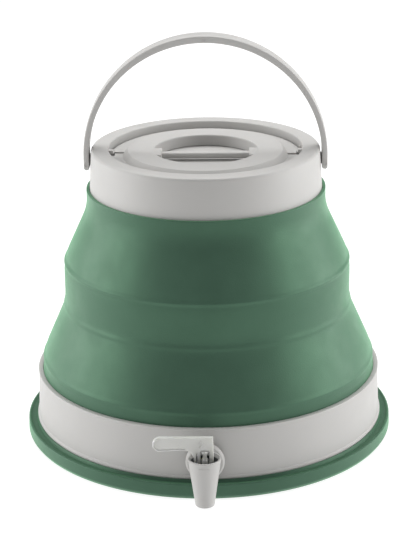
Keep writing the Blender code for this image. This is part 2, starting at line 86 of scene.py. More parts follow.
FOOT_R = FOOT[1][0]
FOOT_TOP = FOOT[1][2]
BASE_R = BASE[1][0]
BASE_TOP = BASE[1][2]
BASE_UNDER = 0.0047
BASE_RIM_R = 0.1326
FLOOR_TOP = 0.0073
LOWER_R = LOWER[1][0]
LOWER_BOTTOM = LOWER[0][2]
LOWER_TOP = LOWER[1][2]
MIDDLE_R = MIDDLE[1][0]
MIDDLE_BOTTOM = MIDDLE[0][2]
MIDDLE_TOP = MIDDLE[1][2]
WALL_SEAM = MIDDLE_TOP - 0.0024   # where the wall's two pieces meet, under the ridge
UPPER_R = UPPER[1][0]
UPPER_BOTTOM = UPPER[0][2]
UPPER_TOP = UPPER[1][2]
COLLAR_SKIRT_R = COLLAR[1][1]
COLLAR_BOTTOM = COLLAR[0][2]
COLLAR_TOP = COLLAR[1][2]
COLLAR_R = 0.0866
MOUTH_R = 0.0733
NECK_R = 0.0680
LEDGE_Z = GASKET[0][2] - GAP
FLANGE_UNDER = GASKET[1][2] + GAP
FLANGE_Z = FLANGE_UNDER + 0.0022
LID_TOP = LID[1][2]
RECESS_R = 0.0394
LUG_REACH = (0.0700, 0.0743)
LUG_HALF = 0.0022
LUG_RISE = (0.0048, 0.0082)   # its lower and upper face above the ledge
BOSS_R = 0.0045
PIN_HOLE_R = 0.0027
PIN_SEAT_R = 0.0043
PIVOT_Z = (PIN[0][2] + PIN[1][2]) / 2
HANDLE_INNER = (0.0880, 0.0905)
HANDLE_OUTER = (HANDLE[1][0], HANDLE[1][2] - PIVOT_Z)
HANDLE_DEPTH = HANDLE[1][1] - HANDLE[0][1]
HANDLE_STRAIGHT = 0.0030   # how far the legs go straight up from the pivots
TAP_Z = (WASHER[0][2] + WASHER[1][2]) / 2
TAP_Y = (ROTOR[0][1] + ROTOR[1][1]) / 2
SEAT_R = 0.0132
SEAT_INNER_R = 0.0115
SHANK_HOLE_R = 0.0074
SEAT_Y = WASHER[1][1] + GAP
SEAT_INNER_Y = INNER_WASHER[0][1] - GAP
DISC_R = TAP[1][0]
CUP_R = TAP_Y - TAP[0][1]
CUP_FLOOR = ROTOR[1][2] - 0.0016
CUP_TOP = CUP_FLOOR + 0.0062
SPOUT_BOTTOM = TAP[0][2]


# Mesh helpers


def linked(name, mesh):
    obj = bpy.data.objects.new(name, mesh)
    bpy.context.scene.collection.objects.link(obj)
    return obj


def mesh_from(name, bm):
    mesh = bpy.data.meshes.new(name)
    bm.to_mesh(mesh)
    bm.free()
    return mesh


def applied(obj):
    """The object with its modifiers made part of its mesh."""
    bpy.context.view_layer.update()
    graph = bpy.context.evaluated_depsgraph_get()
    mesh = bpy.data.meshes.new_from_object(obj.evaluated_get(graph))
    obj.modifiers.clear()
    obj.data = mesh
    return obj


def settled(obj):
    """The object with its location and rotation made part of its mesh."""
    bpy.context.view_layer.update()
    obj.data.transform(obj.matrix_world)
    obj.matrix_world = Matrix.Identity(4)
    return obj


def smooth(obj, angle=32):
    obj.data.shade_smooth()
    obj.data.set_sharp_from_angle(angle=math.radians(angle))
    return obj


def rounded(corners, closed, radius=CORNER):
    """A profile with its corners rounded. A corner is (r, z) or (r, z, rounding)."""
    points = []
    count = len(corners)
    for i, corner in enumerate(corners):
        here = Vector(corner[:2])
        size = corner[2] if len(corner) > 2 else radius
        if size == 0.0 or (not closed and i in (0, count - 1)):
            points.append(tuple(here))
            continue
        before = Vector(corners[i - 1][:2])
        after = Vector(corners[(i + 1) % count][:2])
        back = before - here
        onward = after - here
        bend = back.angle(onward)
        trim = size / max(math.tan(bend / 2), 0.001)
        trim = min(trim, 0.45 * back.length, 0.45 * onward.length)
        start = here + back.normalized() * trim
        end = here + onward.normalized() * trim
        for k in range(CORNER_STEPS + 1):
            t = k / CORNER_STEPS
            point = start * (1 - t) ** 2 + here * (2 * t * (1 - t)) + end * t**2
            points.append(tuple(point))
    return points


def turned(name, corners, steps=RING_STEPS, radius=CORNER):
    """A solid turned about Z. The profile runs down the outer side, and is a closed ring unless
    it starts and ends on the axis."""
    closed = corners[0][0] > 0.0
    bm = bmesh.new()
    points = [bm.verts.new((r, 0.0, z)) for r, z in rounded(corners, closed, radius)]
    for start, end in zip(points, points[1:]):
        bm.edges.new((start, end))
    if closed:
        bm.edges.new((points[-1], points[0]))
    obj = linked(name, mesh_from(name, bm))
    screw = obj.modifiers.new("Turn", "SCREW")
    screw.steps = steps
    screw.render_steps = steps
    screw.use_merge_vertices = True
    screw.merge_threshold = 0.000005
    return smooth(applied(obj))


def rod(name, radius, start, end, sides=SMALL_STEPS):
    start = Vector(start)
    end = Vector(end)
    bm = bmesh.new()
    bmesh.ops.create_cone(
        bm,
        cap_ends=True,
        segments=sides,
        radius1=radius,
        radius2=radius,
        depth=(end - start).length,
    )
    obj = linked(name, mesh_from(name, bm))
    obj.location = (start + end) / 2
    obj.rotation_euler = (end - start).to_track_quat("Z", "Y").to_euler()
    return settled(obj)


def block(name, low, high, edge=0.0, segments=3):
    """A box between two corners, with its edges rounded."""
    low = Vector(low)
    high = Vector(high)
    bm = bmesh.new()
    bmesh.ops.create_cube(bm, size=1.0)
    bmesh.ops.scale(bm, vec=high - low, verts=bm.verts)
    bmesh.ops.translate(bm, vec=(low + high) / 2, verts=bm.verts)
    if edge > 0.0:
        bmesh.ops.bevel(
            bm, geom=bm.edges, offset=edge, segments=segments, affect="EDGES", profile=0.5
        )
    return linked(name, mesh_from(name, bm))


def combined(obj, helpers, operation):
    """Joins helpers to a piece, or cuts them from it, and removes them."""
    for helper in helpers:
        step = obj.modifiers.new(helper.name, "BOOLEAN")
        step.object = helper
        step.operation = operation
        step.solver = "EXACT"
    applied(obj)
    for helper in helpers:
        bpy.data.objects.remove(helper, do_unlink=True)
    return obj


def plate(name, points, y_middle, thickness, edge):
    """An outline in XZ made thick along Y, with its edges rounded by a bevel."""
    bm = bmesh.new()
    ring = [bm.verts.new((x, y_middle - thickness / 2, z)) for x, z in points]
    face = bm.faces.new(ring)
    moved = bmesh.ops.extrude_face_region(bm, geom=[face])["geom"]
    far = [item for item in moved if isinstance(item, bmesh.types.BMVert)]
    bmesh.ops.translate(bm, vec=(0.0, thickness, 0.0), verts=far)
    bmesh.ops.recalc_face_normals(bm, faces=bm.faces)
    obj = linked(name, mesh_from(name, bm))
    bevel = obj.modifiers.new("Edges", "BEVEL")
    bevel.width = edge
    bevel.segments = 3
    bevel.limit_method = "ANGLE"
    bevel.angle_limit = math.radians(50)
    return smooth(applied(obj), 40)


def applied_curve(name, curve):
    """A curve's tube as a closed mesh."""
    source = linked(name, curve)
    bpy.context.view_layer.update()
    graph = bpy.context.evaluated_depsgraph_get()
    mesh = bpy.data.meshes.new_from_object(source.evaluated_get(graph))
    bpy.data.objects.remove(source, do_unlink=True)
    bm = bmesh.new()
    bm.from_mesh(mesh)
    bmesh.ops.remove_doubles(bm, verts=bm.verts, dist=0.000002)
    bm.to_mesh(mesh)
    bm.free()
    return linked(name, mesh)


def arc(centre, radius, start, end, steps):
    turn = [math.radians(start + (end - start) * i / steps) for i in range(steps + 1)]
    return [(centre[0] + radius * math.cos(a), centre[1] + radius * math.sin(a)) for a in turn]


# Materials

NOISE_RANGE = (0.35, 0.65)   # where most of a noise texture's values lie


class Nodes:
    """Short ways to add nodes to a material."""

    def __init__(self, name):
        self.material = bpy.data.materials.new(name)
        self.material.use_nodes = True
        self.tree = self.material.node_tree
        self.shader = self.tree.nodes["Principled BSDF"]
        self.coordinates = self.tree.nodes.new("ShaderNodeTexCoord").outputs["Object"]

    def link(self, source, target):
        self.tree.links.new(source, target)

    def noise(self, scale, detail=2.0, roughness=0.5):
        node = self.tree.nodes.new("ShaderNodeTexNoise")
        node.inputs["Scale"].default_value = scale
        node.inputs["Detail"].default_value = detail
        node.inputs["Roughness"].default_value = roughness
        self.link(self.coordinates, node.inputs["Vector"])
        return node.outputs["Fac"]

    def ranged(self, value, low, high):
        node = self.tree.nodes.new("ShaderNodeMapRange")
        node.inputs["From Min"].default_value = NOISE_RANGE[0]
        node.inputs["From Max"].default_value = NOISE_RANGE[1]
        node.inputs["To Min"].default_value = low
        node.inputs["To Max"].default_value = high
        self.link(value, node.inputs["Value"])
        return node.outputs["Result"]

    def mixed(self, fac, first, second):
        node = self.tree.nodes.new("ShaderNodeMix")
        node.data_type = "RGBA"
        self.link(fac, node.inputs["Factor"])
        node.inputs["A"].default_value = (*first, 1.0)
        node.inputs["B"].default_value = (*second, 1.0)
        return node.outputs["Result"]

    def bump(self, height, strength, distance, after=None):
        node = self.tree.nodes.new("ShaderNodeBump")
        node.inputs["Strength"].default_value = strength
        node.inputs["Distance"].default_value = distance
        self.link(height, node.inputs["Height"])
        if after is not None:
            self.link(after, node.inputs["Normal"])
        return node.outputs["Normal"]


def moulded(name, colour, spread, roughness, grain_scale, grain_depth, waves_depth):
    """Moulded plastic or rubber: faint mottling, uneven gloss, fine grain and slight waviness."""
    nodes = Nodes(name)
    low = tuple(c * (1 - spread) for c in colour)
    high = tuple(min(c * (1 + spread), 1.0) for c in colour)
    mottling = nodes.ranged(nodes.noise(28.0, 4.0, 0.6), 0.0, 1.0)
    nodes.link(nodes.mixed(mottling, low, high), nodes.shader.inputs["Base Color"])
    gloss = nodes.ranged(nodes.noise(60.0, 5.0, 0.65), roughness - 0.05, roughness + 0.06)
    nodes.link(gloss, nodes.shader.inputs["Roughness"])
    waves = nodes.bump(nodes.noise(14.0, 1.0), 1.0, waves_depth)
    grain = nodes.bump(nodes.noise(grain_scale, 2.0, 0.7), 1.0, grain_depth, waves)
    nodes.link(grain, nodes.shader.inputs["Normal"])
    return nodes


def white_plastic():
    nodes = moulded("white_plastic", (0.452, 0.445, 0.433), 0.012, 0.46, 1800.0, 0.00001, 0.0001)
    nodes.shader.inputs["Specular IOR Level"].default_value = 0.30
    nodes.shader.inputs["Subsurface Weight"].default_value = 0.03
    nodes.shader.inputs["Subsurface Radius"].default_value = (0.003, 0.002, 0.0015)
    nodes.shader.inputs["Subsurface Scale"].default_value = 1.0
    return nodes.material


def lever_plastic():
    nodes = moulded("lever_plastic", (0.58, 0.58, 0.56), 0.02, 0.32, 1800.0, 0.00001, 0.0001)
    nodes.shader.inputs["Specular IOR Level"].default_value = 0.5
    nodes.shader.inputs["Subsurface Weight"].default_value = 0.30
    nodes.shader.inputs["Subsurface Radius"].default_value = (0.005, 0.005, 0.004)
    nodes.shader.inputs["Subsurface Scale"].default_value = 1.0
    return nodes.material


def green_rubber():
    nodes = moulded("green_rubber", (0.050, 0.094, 0.068), 0.05, 0.42, 1100.0, 0.00009, 0.0003)
    nodes.shader.inputs["Specular IOR Level"].default_value = 0.48
    nodes.shader.inputs["Specular Tint"].default_value = (0.48, 1.0, 0.60, 1.0)
    nodes.shader.inputs["Sheen Weight"].default_value = 0.55
    nodes.shader.inputs["Sheen Roughness"].default_value = 0.42
    nodes.shader.inputs["Sheen Tint"].default_value = (0.38, 1.0, 0.52, 1.0)
    return nodes.material


# Dark rubber of the gasket, washers and o-rings, also used as painted shade for the sleeve in the
# cup
def dark_rubber():
    colour = (0.030, 0.033, 0.032)
    return moulded("dark_rubber", colour, 0.05, 0.62, 900.0, 0.00003, 0.0).material


def dark_plastic():
    colour = (0.022, 0.023, 0.024)
    return moulded("dark_plastic", colour, 0.05, 0.45, 1500.0, 0.00001, 0.0).material


def floor_paint():
    nodes = moulded("floor_paint", (0.30, 0.30, 0.30), 0.004, 0.85, 300.0, 0.00001, 0.0)
    nodes.shader.inputs["Specular IOR Level"].default_value = 0.1
    nodes.shader.inputs["Emission Color"].default_value = (1.0, 1.0, 1.0, 1.0)
    nodes.shader.inputs["Emission Strength"].default_value = 0.85
    return nodes.material


WHITE = white_plastic()
CLEAR = lever_plastic()
GREEN = green_rubber()
DARK = dark_rubber()
BLACK = dark_plastic()


def dress(obj, material, body=None, replaced=()):
    """Gives a piece its material, its body and the CAD nodes that it stands for."""
    obj.data.materials.clear()
    obj.data.materials.append(material)
    if body is not None:
        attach(obj, body)
    if replaced:
        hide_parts(*replaced)
    return obj


# Base


def foot_ring():
    inside = BASE_R + GAP
    corners = [
        (inside, FOOT_TOP - 0.0002, 0.0002),
        (inside + 0.0006, FOOT_TOP - 0.0002, 0.0002),
        (inside + 0.0014, FOOT_TOP - 0.0026, 0.0006),
        (FOOT_R - 0.0026, FOOT_TOP - 0.0024, 0.0008),
        (FOOT_R - 0.0014, FOOT_TOP - 0.0010, 0.0004),
        (FOOT_R - 0.0003, FOOT_TOP - 0.0016, 0.0005),
        (FOOT_R, 0.0030, 0.0030),
        (FOOT_R - 0.0022, 0.0, 0.0018),
        (0.1240, 0.0, 0.0010),
        (0.1240, BASE_UNDER - GAP, 0.0005),
        (inside, BASE_UNDER - GAP),
    ]
    dress(turned("foot_ring_soft", corners), GREEN, "base", ["foot_ring"])


def base_ribs():
    """Radial ribs under the floor."""
    count = 12
    ribs = []
    for i in range(count):
        low = (0.0262, -0.0010, BASE_UNDER - 0.0020)
        rib = block(f"rib_{i}", low, (0.1180, 0.0010, BASE_UNDER + 0.0004))
        rib.rotation_euler = (0.0, 0.0, 2 * math.pi * (i + 0.5) / count)
        ribs.append(settled(rib))
    return ribs


def base_tray():
    inside = LOWER_R + GAP
    lip = 0.0005             # how far the rim's edge stands out
    skirt = 0.0010           # how far the edge above the foot ring stands out
    corners = [
        (0.0, FLOOR_TOP),
        (0.1262, FLOOR_TOP, 0.0040),
        (0.1308, FLOOR_TOP + 0.0050, 0.0040),
        (inside, LOWER_BOTTOM - 0.0022),
        (0.1268, LOWER_BOTTOM - 0.0012),
        (0.1268, LOWER_BOTTOM - GAP),
        (inside, LOWER_BOTTOM - GAP, 0.0002),
        (inside, BASE_TOP, 0.0004),
        (BASE_RIM_R + lip, BASE_TOP, 0.0005),
        (BASE_RIM_R + lip, BASE_TOP - 0.0012, 0.0004),
        (BASE_RIM_R + 0.0001, BASE_TOP - 0.0020, 0.0006),
        (BASE_R - 0.0001, FOOT_TOP + 0.0030, 0.0006),
        (BASE_R + skirt, FOOT_TOP + 0.0018, 0.0003),
        (BASE_R + skirt, FOOT_TOP + 0.0006, 0.0002),
        (BASE_R, FOOT_TOP + 0.0005, 0.0001),
        (BASE_R, BASE_UNDER),
        (0.0266, BASE_UNDER),
        (0.0260, 0.0),
        (0.0, 0.0),
    ]
    tray = turned("base_tray", corners)
    outer = rod("seat_out", SEAT_R, (0, -0.1302, TAP_Z), (0, SEAT_Y, TAP_Z))
    inner = rod("seat_in", SEAT_INNER_R, (0, SEAT_INNER_Y, TAP_Z), (0, -0.1310, TAP_Z))
    combined(tray, [outer, inner, *base_ribs()], "UNION")
    hole = rod("seat_hole", SHANK_HOLE_R, (0, -0.1200, TAP_Z), (0, -0.1400, TAP_Z))
    combined(tray, [hole], "DIFFERENCE")
    dress(smooth(tray), WHITE, "base", ["base_shell"])


# Soft wall

# Outer side of the wall as (height, radius), from the bottom up
WALL_LINE = [
    (LOWER_BOTTOM - 0.0500, LOWER_R),
    (LOWER_TOP, LOWER_R),
    (MIDDLE_BOTTOM, MIDDLE_R),
    (MIDDLE_TOP, MIDDLE_R),
    (UPPER_BOTTOM, UPPER_R),
    (UPPER_TOP + 0.0500, UPPER_R),
]
WALL_SOFTNESS = 0.0080   # half the height over which the wall bends at each step
# Height of each fine moulded ridge, and how far it stands out
RIDGES = {BASE_TOP: 0.00025, LOWER_TOP: 0.0007, MIDDLE_BOTTOM: 0.0003, MIDDLE_TOP: 0.0009}
RIDGE_HALF = 0.0018


def straight_radius(z):
    for (low, low_r), (high, high_r) in zip(WALL_LINE, WALL_LINE[1:]):
        if z <= high:
            return low_r + (high_r - low_r) * (z - low) / (high - low)
    return WALL_LINE[-1][1]


def wall_radius(z):
    """The wall's outer radius, with soft bends and a fine moulded ridge along each fold line."""
    samples = 8
    offsets = [WALL_SOFTNESS * k / samples for k in range(-samples, samples + 1)]
    radius = sum(straight_radius(z + offset) for offset in offsets) / len(offsets)
    for height, depth in RIDGES.items():
        radius += depth * math.exp(-(((z - height) / RIDGE_HALF) ** 2))
    return radius


def wall_heights(bottom, top):
    """Heights from the top down, closer together near the ridges."""
    heights = [top]
    while heights[-1] > bottom:
        z = heights[-1]
        near = min(abs(z - height) for height in RIDGES)
        heights.append(max(z - (0.0005 if near < 0.0050 else 0.0020), bottom))
    return heights


def wall_profile(bottom, top, least_inner=0.0):
    """Closed profile of one stretch of the wall: down outside, and back up inside, where the
    radius is nowhere less than least_inner."""
    outer = [(wall_radius(z), z, 0.0) for z in wall_heights(bottom, top)]
    count = max(int((top - bottom) / 0.0030), 2)
    inner = []
    for k in range(count + 1):
        z = bottom + (top - bottom) * k / count
        inner.append((max(wall_radius(z) - SKIN, least_inner), z, 0.0))
    return outer + inner


def wall_lower():
    """From inside the base up to the seam near the top of the middle band."""
    wall = turned("wall_lower", wall_profile(LOWER_BOTTOM + 0.0001, WALL_SEAM))
    dress(wall, GREEN, None, ["wall_lower_band", "wall_lower_cone"])
    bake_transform(wall)


def wall_upper():
    """From the seam in the middle band up to the collar, with a small rolled upper edge."""
    edge = 0.0008
    profile = wall_profile(WALL_SEAM, UPPER_TOP - edge, COLLAR_SKIRT_R + GAP)
    profile[0] = (UPPER_R, UPPER_TOP - edge, 0.0)
    profile += [(COLLAR_SKIRT_R + GAP, UPPER_TOP, 0.0003), (UPPER_R, UPPER_TOP, edge)]
    wall = turned("wall_upper", profile)
    dress(wall, GREEN, None, ["wall_middle_band", "wall_upper_cone", "wall_upper_band"])
    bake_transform(wall)


# Collar and handle


def lug_brace(name, angle):
    """Small rib on the mouth's wall beside the right lug."""
    low = (0.0712, -0.0004, LEDGE_Z + 0.0050)
    brace = block(name, low, (0.0738, 0.0004, LEDGE_Z + 0.0078), 0.0002)
    brace.rotation_euler = (0.0, 0.0, math.radians(angle))
    return settled(brace)


def collar():
    under = COLLAR_TOP - PLASTIC
    corners = [
        (MOUTH_R + 0.0001, COLLAR_TOP - 0.0006, 0.0003),
        (MOUTH_R + 0.0007, COLLAR_TOP, 0.0005),
        (COLLAR_R, COLLAR_TOP, 0.0026),
        (COLLAR_SKIRT_R, UPPER_TOP, 0.0010),
        (COLLAR_SKIRT_R, COLLAR_BOTTOM),
        (COLLAR_SKIRT_R - PLASTIC, COLLAR_BOTTOM),
        (COLLAR_SKIRT_R - PLASTIC, UPPER_TOP),
        (COLLAR_R - PLASTIC, under, 0.0015),
        (MOUTH_R + PLASTIC, under),
        (MOUTH_R + PLASTIC, LEDGE_Z - PLASTIC),
        (NECK_R + PLASTIC, LEDGE_Z - PLASTIC),
        (NECK_R + PLASTIC, LEDGE_Z - 0.0133),
        (NECK_R, LEDGE_Z - 0.0133),
        (NECK_R, LEDGE_Z),
        (MOUTH_R, LEDGE_Z, 0.0003),
        (MOUTH_R, COLLAR_TOP - 0.0024, 0.0003),
    ]
    ring = turned("collar_ring", corners)
    added = [lug_brace("brace_a", 5.0), lug_brace("brace_b", 8.0)]
    holes = []
    for side in (-1, 1):
        face = (side * (HANDLE_INNER[0] - GAP), 0, PIVOT_Z)
        added.append(rod(f"boss{side}", BOSS_R, (side * 0.0852, 0, PIVOT_Z), face))
        ends = sorted(side * reach for reach in LUG_REACH)
        low = (ends[0], -LUG_HALF, LEDGE_Z + LUG_RISE[0])
        high = (ends[1], LUG_HALF, LEDGE_Z + LUG_RISE[1])
        added.append(block(f"lug{side}", low, high, 0.0005))
        start = (side * 0.0800, 0, PIVOT_Z)
        holes.append(rod(f"hole{side}", PIN_HOLE_R, start, (side * 0.0950, 0, PIVOT_Z)))
        ends = sorted((side * (COLLAR_R - 0.0012), side * 0.0900))
        low = (ends[0], -0.0016, COLLAR_TOP - 0.0024)
        holes.append(block(f"nick{side}", low, (ends[1], 0.0016, COLLAR_TOP + 0.0010)))
    combined(ring, added, "UNION")
    combined(ring, holes, "DIFFERENCE")
    dress(smooth(ring), WHITE, "collar", ["collar"])


def bow_point(half_width, height, angle):
    """A point of the bow's outline, measured from the middle between the pivots."""
    rise = (height - HANDLE_STRAIGHT) * math.sin(angle)
    return Vector((half_width * math.cos(angle), 0.0, HANDLE_STRAIGHT + rise))


def strap_section(thickness):
    """The strap's section as (share from inside to outside, share of half the depth)."""
    corner_steps = 5
    section = []
    for side, share in ((-1, 1.0), (1, 1.0), (1, 0.0), (-1, 0.0)):
        # the outer face is crowned, so its corners reach far across it
        rise, reach = (0.0010, 0.0045) if share == 1.0 else (0.0006, 0.0006)
        along = rise / thickness * (1 if share == 0.0 else -1)
        across = 1.0 - 2 * reach / HANDLE_DEPTH
        on_side = (share + along, side)
        on_face = (share, side * across)
        first, last = (on_side, on_face) if (share == 1.0) == (side < 0) else (on_face, on_side)
        for k in range(corner_steps + 1):
            t = k / corner_steps
            weights = ((1 - t) ** 2, 2 * t * (1 - t), t**2)
            corner = (share, side)
            section.append(
                tuple(
                    weights[0] * first[i] + weights[1] * corner[i] + weights[2] * last[i]
                    for i in range(2)
                )
            )
    return section


def strap_stations():
    """(inner point, outer point, share of the depth) along the bow and round both leg ends."""
    down = PIVOT_Z - HANDLE[0][2]
    middle = (HANDLE_INNER[0] + HANDLE_OUTER[0]) / 2
    half = (HANDLE_OUTER[0] - HANDLE_INNER[0]) / 2
    leg = []
    for t in (0.97, 0.88, 0.74, 0.55, 0.3, 0.0):
        width = half * math.sqrt(1 - t * t)
        z = -(down - half) - half * t
        leg.append((middle - width, middle + width, z, 1 - 0.25 * t * t))
    stations = [(Vector((a, 0, z)), Vector((b, 0, z)), share) for a, b, z, share in leg]
    for i in range(BOW_STEPS + 1):
        angle = math.pi * i / BOW_STEPS
        stations.append((bow_point(*HANDLE_INNER, angle), bow_point(*HANDLE_OUTER, angle), 1.0))
    stations += [
        (Vector((-a, 0, z)), Vector((-b, 0, z)), share) for a, b, z, share in reversed(leg)
    ]
    return stations


def handle():
    """Bow lofted through rounded sections, with pin seats and the marks of the ejector pins."""
    section = strap_section(HANDLE_OUTER[0] - HANDLE_INNER[0])
    lift = Vector((0.0, 0.0, PIVOT_Z))
    bm = bmesh.new()
    rings = []
    for inner, outer, share in strap_stations():
        reach = share * HANDLE_DEPTH / 2
        points = [inner.lerp(outer, s) + lift + Vector((0, y * reach, 0)) for s, y in section]
        rings.append([bm.verts.new(point) for point in points])
    sides = len(section)
    for first, second in zip(rings, rings[1:]):
        for k in range(sides):
            after = (k + 1) % sides
            bm.faces.new((first[k], first[after], second[after], second[k]))
    bm.faces.new(rings[0])
    bm.faces.new(rings[-1])
    bmesh.ops.recalc_face_normals(bm, faces=bm.faces)
    bow = linked("bail_handle", mesh_from("bail_handle", bm))
    front = -HANDLE_DEPTH / 2
    cutters = []
    marks = [(0.0, PIVOT_Z + (HANDLE_INNER[1] + HANDLE_OUTER[1]) / 2)]
    for side in (-1, 1):
        outside = side * HANDLE_OUTER[0]
        hole = (side * 0.0800, 0, PIVOT_Z)
        cutters.append(rod(f"pin_hole{side}", PIN_HOLE_R, hole, (side * 0.1000, 0, PIVOT_Z)))
        seat = (outside - side * 0.0021, 0, PIVOT_Z)
        cutters.append(rod(f"pin_seat{side}", PIN_SEAT_R, seat, (side * 0.1000, 0, PIVOT_Z)))
        marks.append((side * (HANDLE_INNER[0] + HANDLE_OUTER[0]) / 2, PIVOT_Z - 0.0025))
    for i, (x, z) in enumerate(marks):
        cutters.append(rod(f"mark{i}", 0.0015, (x, front - 0.0010, z), (x, front + 0.0003, z), 24))
    combined(bow, cutters, "DIFFERENCE")
    dress(smooth(bow), WHITE, "handle", ["handle"])


# Lid


def raised_half():
    """The rear half of the flange stands higher, and ends in a step beside each lug."""
    step = 0.0011
    outside = 0.0695         # less than the reach of the lugs, so that it turns past them
    corners = [
        (0.0600, FLANGE_Z + step),
        (outside, FLANGE_Z + step, 0.0004),
        (outside, FLANGE_Z - 0.0008),
        (0.0600, FLANGE_Z - 0.0008),
    ]
    half = turned("raised_half", corners)
    low_left = block("front_left", (-0.0800, -0.0800, 0.2000), (0.0000, 0.0032, 0.2400))
    low_right = block("front_right", (-0.0001, -0.0800, 0.2000), (0.0800, -0.0026, 0.2400))
    return combined(half, [low_left, low_right], "DIFFERENCE")


def lid_cap():
    """Flange, raised ring, finger recess with its grip bar and the filled front corners."""
    floor = LEDGE_Z + GAP
    lean = 0.0012            # how far the recess's wall leans in at its foot
    corners = [
        (0.0586, LID_TOP, 0.0006),
        (0.0628, FLANGE_Z, 0.0008),
        (LID[1][1], FLANGE_Z, 0.0005),
        (LID[1][1], FLANGE_UNDER, 0.0004),
        (0.0600, FLANGE_UNDER),
        (0.0570, LID_TOP - 0.0022),
        (0.0420, LID_TOP - 0.0022),
        (0.0404, floor),
        (RECESS_R - lean, floor, 0.0003),
        (RECESS_R - 0.0002, LID_TOP - 0.0008, 0.0004),
        (RECESS_R + 0.0003, LID_TOP, 0.0005),
    ]
    cap = turned("lid_cap", corners)
    low = (-0.0402, -0.0035, floor + 0.0012)
    added = [raised_half(), block("bar", low, (0.0402, 0.0035, LID_TOP - 0.0022), 0.0021, 6)]
    cutters = []
    for side in (-1, 1):
        ends = sorted((side * 0.0330, side * 0.0396))
        low = (ends[0], -0.0160, floor + 0.0007)
        added.append(block(f"gusset{side}", low, (ends[1], 0.0030, LID_TOP - 0.0001), 0.0004))
        ends = sorted((side * 0.0688, side * 0.0750))
        low = (ends[0], -0.0033, LEDGE_Z - 0.0003)
        cutters.append(block(f"notch{side}", low, (ends[1], 0.0033, FLANGE_Z + 0.0040)))
    combined(cap, added, "UNION")
    combined(cap, cutters, "DIFFERENCE")
    dress(smooth(cap), WHITE, "lid", ["lid_top"])


def lid_plug():
    outside = PLUG[1][0]
    inside = outside - PLASTIC
    bottom = PLUG[0][2]
    top = PLUG[1][2]
    corners = [
        (0.0, LEDGE_Z),
        (inside, LEDGE_Z),
        (inside, top, 0.0002),
        (outside, top, 0.0002),
        (outside, bottom, 0.0008),
        (inside, bottom, 0.0008),
        (inside, LEDGE_Z - PLASTIC, 0.0010),
        (0.0, LEDGE_Z - PLASTIC),
    ]
    dress(turned("lid_plug_shell", corners), WHITE, "lid", ["lid_plug"])


# Tap

SPOUT_R = 0.0069
CUP_RIM_R = CUP_R - 0.0003


def cup_radius(z):
    """Outer radius of the cone that is the cup above and the spout below."""
    return SPOUT_R + (CUP_RIM_R - SPOUT_R) * (z - SPOUT_BOTTOM) / (CUP_TOP - SPOUT_BOTTOM)


def cup_panel():
    """Faint raised panel on the front of the cup."""
    bottom = CUP_TOP - 0.0120
    top = CUP_TOP - 0.0040
    proud = 0.00018
    corners = [
        (0.0, top),
        (cup_radius(top) + proud, top, 0.0),
        (cup_radius(bottom) + proud, bottom, 0.0),
        (0.0, bottom),
    ]
    panel = turned("panel", corners, SMALL_STEPS)
    low = (-0.0042, -0.0200, bottom - 0.0010)
    window = block("panel_window", low, (0.0042, -0.0080, top + 0.0010))
    combined(panel, [window], "INTERSECT")
    panel.location = (0.0, TAP_Y, 0.0)
    return settled(panel)


def tap_body():
    cup = [
        (0.0, CUP_TOP),
        (CUP_RIM_R, CUP_TOP, 0.0006),
        (SPOUT_R, SPOUT_BOTTOM, 0.0013),
        (0.0, SPOUT_BOTTOM),
    ]
    body = turned("tap_spout", cup, SMALL_STEPS)
    body.location = (0.0, TAP_Y, 0.0)
    settled(body)
    disc_back = -WASHER[0][1] + GAP
    disc_front = disc_back + 0.0035
    shank = [
        (0.0, 0.1520),
        (0.0085, 0.1520),
        (0.0085, disc_front, 0.0008),
        (DISC_R - 0.0014, disc_front, 0.0004),
        (DISC_R, disc_front - 0.0014, 0.0004),
        (DISC_R, disc_back, 0.0004),
        (0.0070, disc_back),
        (0.0070, 0.1215, 0.0008),
        (0.0, 0.1215),
    ]
    barrel = turned("barrel", shank, SMALL_STEPS)
    barrel.rotation_euler = (math.pi / 2, 0.0, 0.0)
    barrel.location = (0.0, 0.0, TAP_Z)
    settled(barrel)
    combined(body, [barrel, cup_panel()], "UNION")
    bore = [
        (0.0, CUP_TOP + 0.0060),
        (CUP_RIM_R - 0.0010, CUP_TOP + 0.0060),
        (CUP_RIM_R - 0.0013, CUP_TOP - 0.0020),
        (CUP_R - 0.0020, CUP_FLOOR, 0.0006),
        (0.0070, CUP_FLOOR),
        (0.0070, ROTOR[0][2] - 0.0004),
        (0.0050, ROTOR[0][2] - 0.0004),
        (0.0052, SPOUT_BOTTOM - 0.0050),
        (0.0, SPOUT_BOTTOM - 0.0050),
    ]
    hollow = turned("bore", bore, SMALL_STEPS, 0.0002)
    hollow.location = (0.0, TAP_Y, 0.0)
    duct = rod("duct", 0.0036, (0, -0.1100, TAP_Z), (0, -0.1530, TAP_Z))
    combined(body, [settled(hollow), duct], "DIFFERENCE")
    dress(smooth(body), WHITE, "base", ["tap_body"])


def cup_shade_sleeve():
    """Painted shade: a dark sleeve that lines the lower half of the cup, above the valve's flange,
    standing in for the shade inside the cup.
    """
    outside = CUP_R - 0.0023
    inside = outside - 0.0007
    bottom = CUP_FLOOR + 0.0008
    top = CUP_TOP - 0.0026
    corners = [(outside, top, 0.0002), (outside, bottom), (inside, bottom), (inside, top, 0.0002)]
    sleeve = turned("cup_shade_sleeve", corners, SMALL_STEPS, 0.0002)
    sleeve.location = (0.0, TAP_Y, 0.0)
    # the dark colour here is painted shade for the cup's hollow
    dress(smooth(settled(sleeve)), DARK, "base")


LEVER_FOOT = LEVER[0][2]
LEVER_TOP = LEVER[1][2]
LEVER_LEFT = LEVER[0][0]
LEVER_RIGHT = LEVER[1][0]
LEVER_THICKNESS = LEVER[1][1] - LEVER[0][1]
PADDLE_BOTTOM = 0.0465
PADDLE_SAG = 0.0007      # how far the broad left end reaches below the rest of the underside
WINDOW = (-0.0029, 0.0036)
WINDOW_TOP = 0.0463


